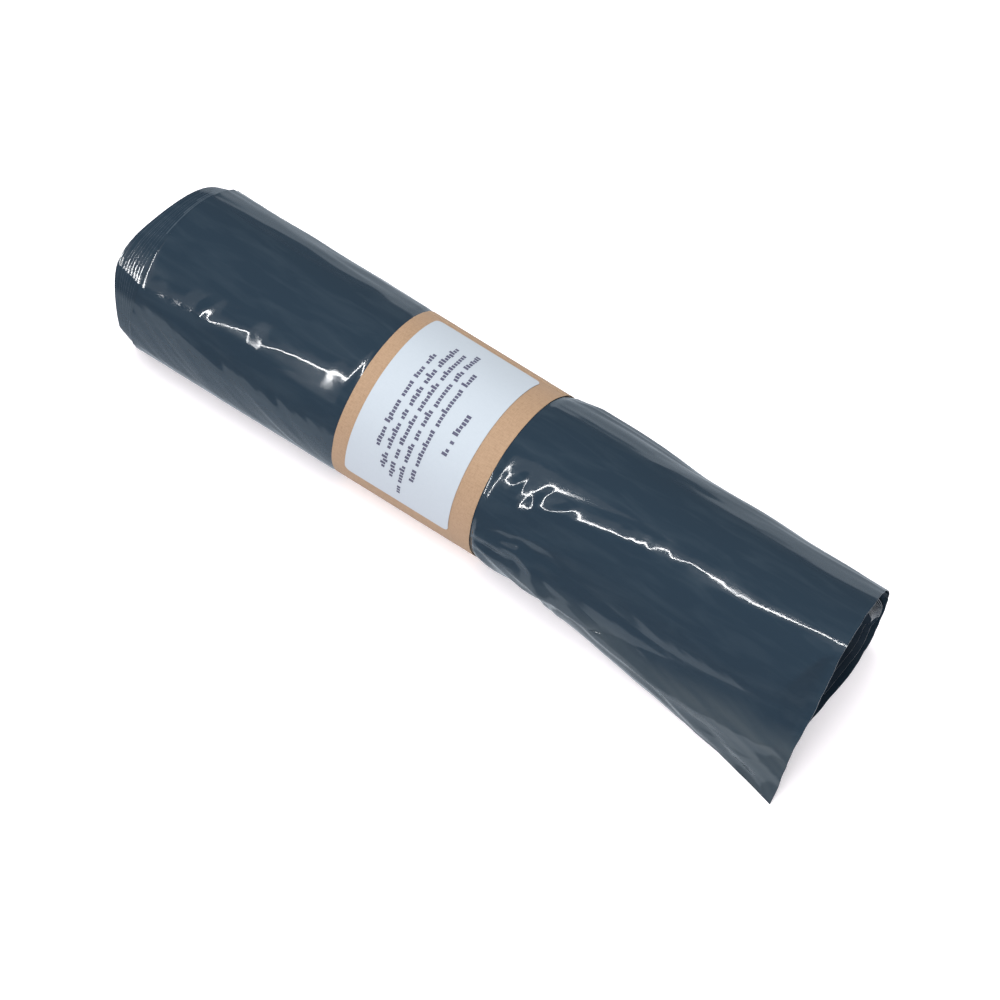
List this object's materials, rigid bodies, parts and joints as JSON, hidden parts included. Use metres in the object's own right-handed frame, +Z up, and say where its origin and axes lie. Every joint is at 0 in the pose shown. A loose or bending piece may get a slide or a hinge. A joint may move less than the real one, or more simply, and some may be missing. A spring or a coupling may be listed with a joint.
{
  "type": "bin bag roll",
  "caption": "Soft roll of folded plastic bin bags with a loose flared tail at one end, held by a kraft paper band that carries a plain paper label.",
  "frame": {"origin": "middle of the lying roll's box, on the surface that it lies on", "axes": "+X along the roll towards the end with the loose tail, -Y to the front where the tail comes down, +Z up"},
  "size_m": [0.5006, 0.1344, 0.0932],
  "materials": {
    "film": "glossy crumpled film",
    "kraft_paper": "matte kraft",
    "label_paper": "smooth matte"
  },
  "bodies": {
    "root": {"bag_roll": "film", "paper_band": "kraft_paper", "paper_label": "label_paper"}
  },
  "joints": []
}
